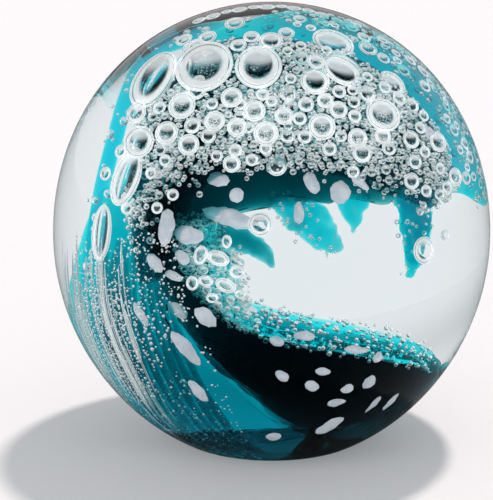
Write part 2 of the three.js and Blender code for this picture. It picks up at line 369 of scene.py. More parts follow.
@dataclass(frozen=True)
class TintedGlass(Finish):
    """Coloured glass cased in the clear: all that shows is what its body takes out of the light."""

    per_metre: Tint = (900.0, 95.0, 80.0)
    ior: float = 1.01
    veil: float = 0.0  # how much of the surface the streaks take
    veil_colour: Colour = srgb(190, 222, 226)
    streaks_per_metre: float = 260.0
    streak_detail: float = 5.0
    streak_swirl: float = 1.2
    streak_edge: Span = (0.52, 0.72)  # noise at which a streak begins and is whole
    squeeze: Point = (1.0, 1.0, 0.18)
    turn: Point = (0.0, 0.3, 0.0)

    def dress(self, board: NodeBoard) -> None:
        """A see-through surface, with fine cloudy streaks drawn along it where it has any.

        Args:
            board: The material's nodes.
        """
        surface = board.see_through(self.ior, {"Specular IOR Level": 0.0})
        if self.veil:
            place = board.place(self.squeeze, self.turn)
            streaks = board.cloud(place, self.streaks_per_metre, self.streak_detail, self.streak_swirl)
            cloudy = board.principled({"Base Color": self.veil_colour, "Roughness": 1.0, "IOR": 1.0})
            surface = board.layered(streaks.ramp(*self.streak_edge, 0.0, self.veil), surface, cloudy)
        board.finish(surface, absorbing(board, self.per_metre))


@dataclass(frozen=True)
class AirInGlass(Finish):
    """The skin of a bubble, from glass into air, painted white above and round its edge, with a painted
    glow.
    """

    painted_top_light: float  # how white the painted top light makes the upper part
    painted_edge_light: float  # and how white the painted bright edge is
    painted_light_colour: Colour = srgb(250, 252, 252)
    painted_glow: float = 0.55  # painted glow, for the light that the ball's lens would gather in the skin
    painted_light_from: float = 0.3  # upward part of the normal where the painted top light begins
    painted_light_full: float = 0.7  # and where it is whole
    edge: Span = (0.14, 0.28)  # slant at which the painted bright edge begins and is whole
    arc_outside: Span = (0.42, 0.47)  # slant at which the clear line in the painted edge begins and is whole
    arc_inside: Span = (0.5, 0.55)  # and at which it thins out and ends
    arc_clear: float = 0.75  # how much of the painted white that line takes away

    def dress(self, board: NodeBoard) -> None:
        """Like clear glass turned inside out, with painted light: white from above, a bright edge and a
        glow.

        Args:
            board: The material's nodes.
        """
        upward = board.height(board.shade("ShaderNodeTexCoord", "Normal"))
        outside = 1 - board.shade("ShaderNodeNewGeometry", "Backfacing")
        slant = board.shade("ShaderNodeLayerWeight", "Facing", None, {"Blend": 0.5})
        # painted light: white on the upward part and round the edge, with a clear line painted into the
        # edge
        above = upward.ramp(self.painted_light_from, self.painted_light_full, 0.0, self.painted_top_light)
        edge = slant.ramp(*self.edge, 0.0, self.painted_edge_light)
        arc = slant.ramp(*self.arc_outside) * slant.ramp(*self.arc_inside, 1.0, 0.0)
        painted_light_skin = {
            "Base Color": self.painted_light_colour,
            "Roughness": 1.0,
            "IOR": 1.0,
            "Specular IOR Level": 0.0,
            "Emission Color": self.painted_light_colour,
            "Emission Strength": self.painted_glow,
        }
        share = above.maximum(edge) * outside * (1 - self.arc_clear * arc)
        board.finish(board.layered(share, board.see_through(1 / GLASS_IOR), board.principled(painted_light_skin)))


@dataclass(frozen=True)
class OpalGlass(Finish):
    """Opaque white glass, a little cloudy and bluish."""

    pale: Colour = srgb(240, 243, 250)
    cloudy: Colour = srgb(208, 218, 228)
    clouds_per_metre: float = 420.0
    cloud_detail: float = 4.0
    cloud_swirl: float = 0.6
    cloud_edge: Span = (0.35, 0.65)
    roughness: Span = (0.5, 0.8)  # where it is pale and where it is cloudy
    pits_per_metre: float = 1500.0
    pit_depth: float = 0.06 * MM
    painted_glow: float = 0.22  # painted glow, for the light that the ball's lens would gather on it

    def dress(self, board: NodeBoard) -> None:
        """Clouds of two whites under fine pits, with a painted glow.

        Args:
            board: The material's nodes.
        """
        place = board.place()
        noise_value = board.cloud(place, self.clouds_per_metre, self.cloud_detail, self.cloud_swirl)
        clouds = noise_value.ramp(*self.cloud_edge)
        sockets = {
            "Base Color": board.blend(clouds, self.pale, self.cloudy),
            "Roughness": clouds.ramp(0.0, 1.0, *self.roughness),
            "IOR": 1.0,
            "Specular IOR Level": 0.0,
            # painted glow
            "Emission Color": self.pale,
            "Emission Strength": self.painted_glow,
            "Normal": board.bump(board.cloud(place, self.pits_per_metre), self.pit_depth),
        }
        board.finish(board.principled(sockets))


@dataclass(frozen=True)
class FloorPaper(Finish):
    """The white paper that the ball stands on, which runs up into the backdrop without a seam."""

    colour: Colour = srgb(247, 246, 246)
    fibre: Colour = srgb(244, 243, 244)
    fibres_per_metre: float = 300.0
    fibre_detail: float = 2.0
    backdrop: Colour = srgb(255, 251, 252)
    seen_glow: float = 0.22  # share of the backdrop's white in what the camera sees
    glass_glow: float = 0.75  # and in what the glass shows
    mirrored_dark: float = 0.8  # how much dimmer it is in what the glass mirrors
    glass_dark: float = 0.05  # and in what it lets through

    def dress(self, board: NodeBoard) -> None:
        """Almost one white, with a trace of fibre, and it keeps the ball's shadow.

        Args:
            board: The material's nodes.
        """
        fibres = board.cloud(board.place(), self.fibres_per_metre, self.fibre_detail)
        colour = board.blend(fibres, self.colour, self.fibre)
        paper = board.principled({"Base Color": colour, "Roughness": 1.0, "Specular IOR Level": 0.0})
        white = board.shade("ShaderNodeEmission", 0, None, {"Color": self.backdrop, "Strength": 1.0})
        dark = board.shade("ShaderNodeEmission", 0, None, {"Strength": 0.0})
        camera, through, mirrored = board.rays()
        lit = board.layered(camera * self.seen_glow + through * self.glass_glow, paper, white)
        board.finish(board.layered(mirrored * self.mirrored_dark + through * self.glass_dark, lit, dark))


CLEAR = BallGlass("clear ball glass")
# each bubble skin carries painted light: a painted white top, a painted bright edge and a painted glow
AIR = AirInGlass("air in glass", painted_top_light=0.62, painted_edge_light=0.85)
CAVIAR = AirInGlass("caviar of air", painted_top_light=0.78, painted_edge_light=0.42, painted_glow=0.36, painted_light_full=0.65)
BEAD = AirInGlass(
    "beads of air", painted_top_light=0.75, painted_edge_light=0.45, painted_glow=0.45, painted_light_from=-0.1, painted_light_full=0.3
)
OPAL = OpalGlass("white opal glass")


# Making pieces


def add_object(name: str, data: bpy.types.ID) -> bpy.types.Object:
    """Adds an object to the scene.

    Args:
        name: Its name.
        data: Its mesh, lamp or camera.

    Returns:
        The object.
    """
    added = bpy.data.objects.new(name, data)
    bpy.context.scene.collection.objects.link(added)
    return added


def to_mesh(name: str, bm: Form) -> bpy.types.Mesh:
    """Turns a form into a mesh.

    Args:
        name: The mesh's name.
        bm: The form, which is freed.

    Returns:
        The mesh.
    """
    mesh = bpy.data.meshes.new(name)
    bm.to_mesh(mesh)
    bm.free()
    return mesh


def to_piece(name: str, bm: Form, finish: Finish, slot: Slot, *nodes: str) -> None:
    """Turns a finished bmesh into a piece that rides with the ball.

    Args:
        name: The piece's name.
        bm: Its shape, which is freed.
        finish: What it is made of.
        slot: Not used.
        nodes: CAD nodes that it stands for.
    """
    mesh = to_mesh(name, bm)
    mesh.materials.append(finish.material())
    piece = add_object(name, mesh)
    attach(piece, "root")
    if nodes:
        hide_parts(*nodes)
    LOG.info("%s: %d faces", name, len(mesh.polygons))


def node_form(node: str) -> Form:
    """Copies a CAD node's solid, with its loose triangles merged.

    Args:
        node: The node's name.

    Returns:
        The copy.
    """
    bm = bmesh.new()
    bm.from_mesh(frame["nodes"][node].data)
    bmesh.ops.remove_doubles(bm, verts=bm.verts, dist=WELD)
    return bm


def melt(bm: Form, voxel: float, rounds: int) -> Form:
    """Evens out a form's faces and rounds its facets off, as heat does.

    Args:
        bm: The form, which is freed.
        voxel: Size of the new faces in metres.
        rounds: How often it is smoothed.

    Returns:
        The melted form.
    """
    mesh = to_mesh("melting", bm)
    work = add_object("melting", mesh)
    remesh = work.modifiers.new("even", "REMESH")
    remesh.mode = "VOXEL"
    remesh.voxel_size = voxel
    melted = bmesh.new()
    melted.from_object(work, bpy.context.evaluated_depsgraph_get())
    bpy.data.objects.remove(work)
    bpy.data.meshes.remove(mesh)
    for _ in range(rounds):
        bmesh.ops.smooth_vert(
            melted, verts=melted.verts, factor=0.5, use_axis_x=True, use_axis_y=True, use_axis_z=True
        )
    return melted


def stir(bm: Form, depth: float, grain: float, seed: float, draw: Point = (1.0, 1.0, 1.0)) -> None:
    """Moves a form's surface in and out by soft noise.

    Args:
        bm: The form.
        depth: How far, in metres.
        grain: Size of the swells in metres.
        seed: Which part of the noise is used.
        draw: How much longer the swells are along each axis.
    """
    ripple, ripple_scale = 0.5, 2.1  # height and fineness of the ripples on the swells
    bm.normal_update()
    shift = Vector((seed, -seed, seed / 2))
    moves = []
    for vert in bm.verts:
        where = Vector(c / (grain * d) for c, d in zip(vert.co, draw)) + shift
        swell = noise.noise(where) + ripple * noise.noise(where * ripple_scale)
        moves.append(vert.normal * swell * depth)
    for vert, move in zip(bm.verts, moves):
        vert.co += move


def keep_in_ball(bm: Form, wall: float) -> None:
    """Draws in whatever comes nearer than wall, in metres, to the ball's face."""
    for vert in bm.verts:
        vert.co = BALL.held_inside(vert.co, wall)


def cut_off(bm: Form, way: Point) -> list[bmesh.types.BMEdge]:
    """Cuts off what lies beyond a plane through the middle of the flat.

    Args:
        bm: The form.
        way: The plane's normal, which points to what goes.

    Returns:
        The edges round the cut.
    """
    whole = [*bm.verts, *bm.edges, *bm.faces]
    cut = bmesh.ops.bisect_plane(
        bm, geom=whole, dist=WELD, plane_co=(0.0, 0.0, 0.0), plane_no=way, clear_outer=True
    )
    return [item for item in cut["geom_cut"] if isinstance(item, bmesh.types.BMEdge)]


def smooth_all(bm: Form) -> None:
    """Shades every face smooth, facing out.

    Args:
        bm: The form.
    """
    bmesh.ops.recalc_face_normals(bm, faces=bm.faces)
    for face in bm.faces:
        face.smooth = True


def bent_line(points: list[Point]) -> Path:
    """A smooth line through points given in millimetres.

    Args:
        points: What it passes through.

    Returns:
        A function from a share of its length, 0 to 1, to a point in metres.
    """
    knots = [Vector(p) * MM for p in points]
    knots = [2 * knots[0] - knots[1], *knots, 2 * knots[-1] - knots[-2]]
    spans = len(knots) - 3

    def at(share: float) -> Vector:
        """The point at a share of the line, between the second and third of the four knots round it.

        Args:
            share: The share, 0 to 1.

        Returns:
            The point in metres.
        """
        place = min(max(share, 0.0), 1.0) * spans
        i = min(int(place), spans - 1)
        t = place - i
        a, b, c, d = knots[i : i + 4]
        curve, twist = 2 * a - 5 * b + 4 * c - d, 3 * b - a - 3 * c + d
        return 0.5 * (2 * b + (c - a) * t + curve * t**2 + twist * t**3)

    return at


def draw_thread(bm: Form, path: Path, start: float, end: float, radius: float, sides: int) -> None:
    """Adds a thread of air that thins out to both ends.

    Args:
        bm: What it is added to.
        path: The line that it follows.
        start: Share of the line where it begins.
        end: Share of the line where it ends.
        radius: Half its thickness in the middle, in metres.
        sides: Faces round it, and half the number of rings along it.
    """
    ball = bmesh.ops.create_uvsphere(bm, u_segments=sides, v_segments=sides * 2, radius=1.0)
    look_ahead = 0.02  # share of the thread over which its direction is read
    step = look_ahead * (end - start)
    for vert in ball["verts"]:
        share = start + (end - start) * (vert.co.z + 1) / 2
        ahead = path(share + step) - path(share - step)
        turn = ahead.to_track_quat("Z", "Y")
        vert.co = path(share) + turn @ Vector((vert.co.x, vert.co.y, 0.0)) * radius


# The ball


@dataclass(frozen=True)
class BallShape:
    """The ball's round form: two halves of an ellipse, each a little fuller or slimmer at its shoulder."""

    width: float = 90.0 * MM
    waist: float = 43.3 * MM  # from the flat up to the widest level
    crown: float = 47.4 * MM  # from the widest level up to the top
    belly: float = 48.05 * MM  # from the widest level down, if no flat cut it off
    crown_fullness: float = 0.0042
    belly_fullness: float = -0.0035

    def placed(self, way: Vector) -> Vector:
        """The point of the face that lies in a direction of a unit ball.

        Args:
            way: A unit vector.

        Returns:
            The point, from the centre of the flat.
        """
        tilt = math.asin(max(-1.0, min(1.0, way.z)))
        up = way.z > 0
        swell = 1 + (self.crown_fullness if up else self.belly_fullness) * (1 - math.cos(4 * tilt))
        half = self.width / 2
        reach = self.crown if up else self.belly
        return Vector((way.x * half * swell, way.y * half * swell, self.waist + way.z * reach * swell))

    def share(self, point: Vector, wall: float) -> float:
        """How far out a point lies.

        Args:
            point: The point.
            wall: Thickness of the glass that is to be left outside, in metres.

        Returns:
            0 at the middle, 1 where only the wall is left outside.
        """
        half = self.width / 2 - wall
        reach = (self.crown if point.z > self.waist else self.belly) - wall
        return math.sqrt((point.x**2 + point.y**2) / half**2 + ((point.z - self.waist) / reach) ** 2)

    def held_inside(self, point: Vector, wall: float) -> Vector:
        """Draws a point in, if need be, to leave a wall of glass outside it and a gap under it.

        Args:
            point: The point.
            wall: Thickness of the glass outside, in metres.

        Returns:
            The point's place.
        """
        centre = Vector((0.0, 0.0, self.waist))
        share = self.share(point, wall)
        held = centre + (point - centre) / share if share > 1 else point.copy()
        held.z = max(held.z, FOOT_GAP)
        return held


BALL = BallShape()


@dataclass
class GlassBall:
    """The clear ball that everything is cased in."""

    segments: int = 160
    rings: int = 96
    bevel: float = 0.5 * MM
    flat_from: float = 0.999  # downward part of the normal of the ground face

    def build(self) -> None:
        """Makes the ball, cuts and grinds its foot, and dresses it."""
        bm = bmesh.new()
        bmesh.ops.create_uvsphere(bm, u_segments=self.segments, v_segments=self.rings, radius=1.0)
        for vert in bm.verts:
            vert.co = BALL.placed(vert.co.normalized())
        rim = cut_off(bm, (0.0, 0.0, -1.0))
        bmesh.ops.contextual_create(bm, geom=rim)
        bmesh.ops.bevel(
            bm, geom=rim, offset=self.bevel, segments=3, profile=0.5, affect="EDGES", material=-1
        )
        smooth_all(bm)
        for face in bm.faces:
            face.smooth = face.normal.z > -self.flat_from
        to_piece("glass_ball", bm, CLEAR, Slot.CLEAR, "clear_casing")


# The wave


@dataclass(frozen=True)
class Layer:
    """One layer of the wave: its CAD node, melted and stirred, in its own glass."""

    node: str
    finish: TintedGlass
    slot: Slot
    voxel: float  # millimetres, like the two lengths below
    rounds: int
    stirred: float
    grain: float
    draw: Point = (1.0, 1.0, 1.0)

    def form(self, seed: float) -> Form:
        """Makes the layer's shape from its node.

        Args:
            seed: Which part of the noise stirs it.

        Returns:
            The shape.
        """
        bm = melt(node_form(self.node), self.voxel * MM, self.rounds)
        stir(bm, self.stirred * MM, self.grain * MM, seed, self.draw)
        keep_in_ball(bm, LAYER_WALL)
        smooth_all(bm)
        return bm

    def build(self, seed: float) -> None:
        """Makes the layer."""
        to_piece(f"melted_{self.node}", self.form(seed), self.finish, self.slot, self.node)


@dataclass(frozen=True)
class ShadedLayer(Layer):
    """A layer of two glasses that meet in the plane of X and Z: its own in front, a lighter one behind."""

    behind: TintedGlass | None = None
    raised: float = 0.6  # share by which the melt stands higher at the left
    raised_from: float = 10.0  # where along X that begins
    raised_over: float = 20.0  # and within how many millimetres it is whole

    def build(self, seed: float) -> None:
        """Makes the front and the back of the layer, which stand for its node together.

        Args:
            seed: Which part of the noise stirs it.
        """
        whole = self.form(seed)
        for vert in whole.verts:
            share = min(max((self.raised_from - vert.co.x / MM) / self.raised_over, 0.0), 1.0)
            vert.co.z *= 1 + self.raised * share
        keep_in_ball(whole, LAYER_WALL)
        for part, finish, way in (("front", self.finish, 1.0), ("back", self.behind, -1.0)):
            bm = whole.copy()
            bmesh.ops.holes_fill(bm, edges=cut_off(bm, (0.0, way, 0.0)))
            smooth_all(bm)
            to_piece(f"melted_{self.node}_{part}", bm, finish, self.slot, self.node)
        whole.free()


TEAL = TintedGlass("teal glass", per_metre=(1400.0, 66.0, 46.0))
SEA = TintedGlass("sea glass", per_metre=(750.0, 38.0, 30.0))
ROPE = TintedGlass("rope glass", per_metre=(2400.0, 400.0, 360.0))
POOL = TintedGlass("pool glass", per_metre=(1500.0, 85.0, 76.0), veil=0.8, veil_colour=srgb(16, 122, 130))
SHALLOW = TintedGlass("shallow glass", per_metre=(260.0, 20.0, 15.0))
NIGHT = TintedGlass("night glass", per_metre=(800.0, 240.0, 220.0))
VEIL = TintedGlass("veil glass", per_metre=(2800.0, 200.0, 95.0))
CYAN = TintedGlass("cyan glass", per_metre=(500.0, 15.0, 7.0))
LAGOON = TintedGlass("lagoon glass", per_metre=(1500.0, 160.0, 120.0), veil=0.3)
DRIP = TintedGlass("drip glass", per_metre=(2800.0, 250.0, 190.0), veil=0.2)
SPLASH = TintedGlass("splash glass", per_metre=(640.0, 66.0, 54.0), veil=0.7)
FINGER = TintedGlass("finger glass", per_metre=(1500.0, 330.0, 290.0), veil=0.15)
UNDERFOAM = TintedGlass("glass under the foam", per_metre=(800.0, 330.0, 300.0))


@dataclass
class WaveGlass:
    """The wave's layers of coloured glass."""

    layers: tuple[Layer, ...] = (
        Layer("base_sheet", SEA, Slot.TEAL, 0.9, 6, 0.9, 9.0, (1.0, 1.0, 2.5)),
        Layer("crest_sheet", TEAL, Slot.TEAL, 0.9, 6, 1.0, 9.0),
        Layer("deep_curl", NIGHT, Slot.DARK, 0.7, 6, 0.7, 8.0),
        ShadedLayer("foot_pool", POOL, Slot.DARK, 0.8, 6, 0.8, 9.0, behind=SHALLOW),
        Layer("trough_rim", CYAN, Slot.CYAN, 0.5, 4, 0.5, 5.0, (2.0, 1.0, 1.0)),
        Layer("side_veil", VEIL, Slot.CYAN, 0.35, 2, 0.3, 5.0, (1.0, 1.0, 3.0)),
        Layer("long_drip", DRIP, Slot.CYAN, 0.25, 3, 0.7, 2.2),
        Layer("fin_drip", LAGOON, Slot.CYAN, 0.3, 3, 0.8, 2.4),
        Layer("stub_drip", LAGOON, Slot.CYAN, 0.25, 3, 0.5, 2.2),
        Layer("splash_finger", FINGER, Slot.CYAN, 0.25, 3, 0.6, 2.2),
        Layer("splash_mass", SPLASH, Slot.FOAM, 0.35, 2, 1.1, 2.6),
        Layer("foam_glass", UNDERFOAM, Slot.FOAM, 0.5, 4, 0.4, 5.0),
        *(
            Layer(f"flank_rope_{number}", ROPE, Slot.DARK, 0.3, 3, 0.4, 3.0, (1.0, 1.0, 3.0))
            for number in range(1, 9)
        ),
    )
    first_seed: float = 1.3
    seed_step: float = 3.7

    def build(self) -> None:
        """Makes every layer."""
        for number, layer in enumerate(self.layers):
            layer.build(self.seed_step * number + self.first_seed)


# The chips


@dataclass
class OpalChips:
    """Chips of white glass, each broken a little differently, picked up on the wave's front."""

    voxel: float = 0.28  # millimetres, like all lengths here
    chipped: float = 0.3
    grain: float = 2.0
    seed_step: float = 5.3
    lifted: float = 0.8  # how far each stands out towards the front
    most_lifted: float = 7.3  # how far it comes up where stirred glass would cover it
    faces: list[BVHTree] = field(default_factory=list)

    def lift(self, place: Vector) -> float:
        """How far a chip comes forward, in metres, to lie on the wave's face.

        Args:
            place: The chip's middle.

        Returns:
            The distance towards the front.
        """
        start = Vector((place.x, -BALL.width, place.z))
        hits = (face.ray_cast(start, Vector((0, 1, 0)))[0] for face in self.faces)
        covered = place.y - min((hit.y for hit in hits if hit), default=place.y)
        return covered if self.lifted * MM < covered < self.most_lifted * MM else self.lifted * MM

    def build(self) -> None:
        """Makes each chip from its node."""
        for piece in bpy.context.scene.objects:
            if piece.name.startswith("melted_"):
                bm = bmesh.new()
                bm.from_mesh(piece.data)
                self.faces.append(BVHTree.FromBMesh(bm))
                bm.free()
        names = sorted(name for name in frame["nodes"] if name.startswith("chip_"))
        for number, name in enumerate(names):
            bm = melt(node_form(name), self.voxel * MM, 1)
            stir(bm, self.chipped * MM, self.grain * MM, self.seed_step * number)
            middle = sum((vert.co for vert in bm.verts), Vector()) / len(bm.verts)
            bmesh.ops.translate(bm, verts=bm.verts, vec=(0.0, -self.lift(middle), 0.0))
            keep_in_ball(bm, CHIP_WALL)
            smooth_all(bm)
            to_piece(f"opal_{name}", bm, OPAL, Slot.WHITE, name)


# Bubbles


@dataclass(frozen=True)
class Bubble:
    """An air bubble, in millimetres."""

    x: float
    y: float
    z: float
    wide: float
    tall: float = 0.0
    lean: float = 0.0

    @property
    def middle(self) -> Vector:
        """Its middle, in metres."""
        return Vector((self.x, self.y, self.z)) * MM

    @property
    def reach(self) -> float:
        """The radius that it is packed by."""
        return (self.wide + (self.tall or self.wide)) / 2


class Packing:
    """Keeps bubbles from running into each other, by a grid of what is already placed."""

    CELL = 2.5  # millimetres

    def __init__(self) -> None:
        """Starts empty."""
        self.cells: dict[tuple[int, int, int], list[Bubble]] = defaultdict(list)

    def _cells(self, bubble: Bubble) -> Iterator[tuple[int, int, int]]:
        """Finds the grid cells that a bubble touches.

        Args:
            bubble: The bubble.

        Returns:
            The cells.
        """
        r = bubble.reach
        spans = [
            range(math.floor((c - r) / self.CELL), math.floor((c + r) / self.CELL) + 1)
            for c in (bubble.x, bubble.y, bubble.z)
        ]
        return ((i, j, k) for i in spans[0] for j in spans[1] for k in spans[2])

    def add(self, bubble: Bubble) -> None:
        """Takes a bubble in without asking."""
        for cell in self._cells(bubble):
            self.cells[cell].append(bubble)

    def fits(self, bubble: Bubble, wall: float) -> bool:
        """Whether a bubble leaves a wall of glass between it and all the others.

        Args:
            bubble: The bubble.
            wall: The thinnest wall, in millimetres.

        Returns:
            True where it does.
        """
        for cell in self._cells(bubble):
            for other in self.cells[cell]:
                near = bubble.reach + other.reach + wall
                aside, deep, up = bubble.x - other.x, bubble.y - other.y, bubble.z - other.z
                if aside**2 + deep**2 + up**2 < near * near:
                    return False
        return True


PACKING = Packing()


def blow(name: str, bubbles: Sequence[Bubble], fineness: int, finish: AirInGlass) -> None:
    """Makes one piece of many bubbles.

    Args:
        name: The piece's name.
        bubbles: Where they are.
        fineness: Subdivisions of each.
        finish: Their skin.
    """
    batch_size = 60
    bm = bmesh.new()
    work = bpy.data.meshes.new("batch")
    for first in range(0, len(bubbles), batch_size):
        batch = bmesh.new()
        for b in bubbles[first : first + batch_size]:
            size = (b.wide * MM, b.wide * MM, (b.tall or b.wide) * MM)
            lean = Matrix.Rotation(math.radians(b.lean), 4, "Y")
            place = Matrix.Translation(b.middle) @ lean @ Matrix.Diagonal((*size, 1.0))
            bmesh.ops.create_icosphere(batch, subdivisions=fineness, radius=1.0, matrix=place)
        batch.to_mesh(work)
        batch.free()
        bm.from_mesh(work)
    bpy.data.meshes.remove(work)
    for face in bm.faces:
        face.smooth = True
    to_piece(name, bm, finish, Slot.FOAM)


class Side(Enum):
    """Which side of a layer bubbles lie on, as a sign along Y."""

    FRONT = -1
    BACK = 1


@dataclass(frozen=True)
class Crop:
    """One size class of bubbles on one side of a layer, in millimetres."""

    name: str
    node: str
    count: int
    least: float
    most: float
    skew: float  # more makes the small ones more common
    fineness: int
    sunk: float = 1.5  # how deep in the layer they are found
    proud: float = 1.0  # and how far out of it
    side: Side = Side.FRONT


# Rows of a Bubble's fields, where the photograph shows them through the ball's lens
LARGE_BUBBLES: tuple[tuple[float, ...], ...] = (
    (-21.2, -9, 74.3, 4.4, 6.4, 12), (-12.3, -13, 77.8, 5.4, 5.6), (-2.5, -14, 77.4, 4.2, 4.6),
    (10.7, -6, 79.6, 3.8, 2.9, 20), (12.2, -11, 75.6, 4.0, 2.7, 30), (7.3, -14, 74.2, 2.6),
    (-0.3, -11, 82.2, 2.2), (19.0, -14, 68.2, 3.2, 3.0, 20), (8.2, -16, 66.1, 2.3),
    (-1.1, -17.5, 65.3, 2.1), (1.9, -17.5, 68.6, 1.6), (-3.1, -17, 69.4, 1.9), (-6.0, -18, 66.7, 1.7),
    (-9.9, -18, 68.0, 1.8), (-13.3, -15, 73.1, 1.8), (-15.8, -16, 70.6, 2.5), (-22.8, -14, 63.3, 2.9),
    (-24.4, -13.5, 56.5, 2.6, 5.0, 18), (-28.2, -12, 46.5, 2.0, 5.0, 4), (20.9, -9, 72.9, 2.7, 2.1, 35),
    (16.6, -3, 77.5, 1.8), (8.4, 1, 80.5, 1.6), (-6.5, -1, 81.5, 1.8), (2.5, -7, 82.0, 1.5),
    (18.7, -15.5, 64.6, 1.5), (24.2, -10, 69.1, 1.5), (16.3, -13, 71.8, 1.6), (-1.9, -14, 48.6, 1.9),
    (24.2, -12, 43.6, 1.9, 2.3), (27.2, -8, 45.1, 0.9), (-25.7, -12, 61.0, 1.2), (-28.4, -12, 57.1, 1.2),
    (-23.8, -12, 68.4, 2.0), (-18.1, -16, 65.4, 2.1), (5.0, -12.5, 78.6, 1.6), (-11.5, -5, 80.6, 1.7),
    (-15.7, -3, 79.8, 1.6), (-13.4, 2, 83.2, 1.3), (-11.0, 1.5, 84.6, 1.5), (-8.5, 2, 85.6, 1.1),
    (-6.0, 2.5, 85.5, 1.5), (-3.3, 3, 86.0, 1.2), (-0.9, 2.5, 86.3, 1.6), (1.8, 3, 86.3, 1.1),
    (4.1, 2.5, 85.8, 1.4), (6.7, 2, 85.5, 1.2), (9.2, 1, 84.6, 1.4), (12.0, 0, 84.0, 1.1),
    (14.6, -1, 82.4, 1.3), (-8.4, -15, 43.2, 1.8, 1.2, 20), (-11.2, -15, 43.7, 1.1, 1.6, 15),
    (-7.2, -15, 38.7, 1.7, 1.1, 25), (-5.4, -15, 41.0, 1.2, 1.1), (-12.5, -15, 39.0, 1.0, 1.2),
    (-10.4, -15.5, 39.5, 1.2, 0.9, 10), (-7.1, -15, 46.0, 0.8, 1.1), (-4.9, -15, 37.3, 0.9, 0.7),
    (-9.3, -15, 36.6, 1.0, 0.8),
)


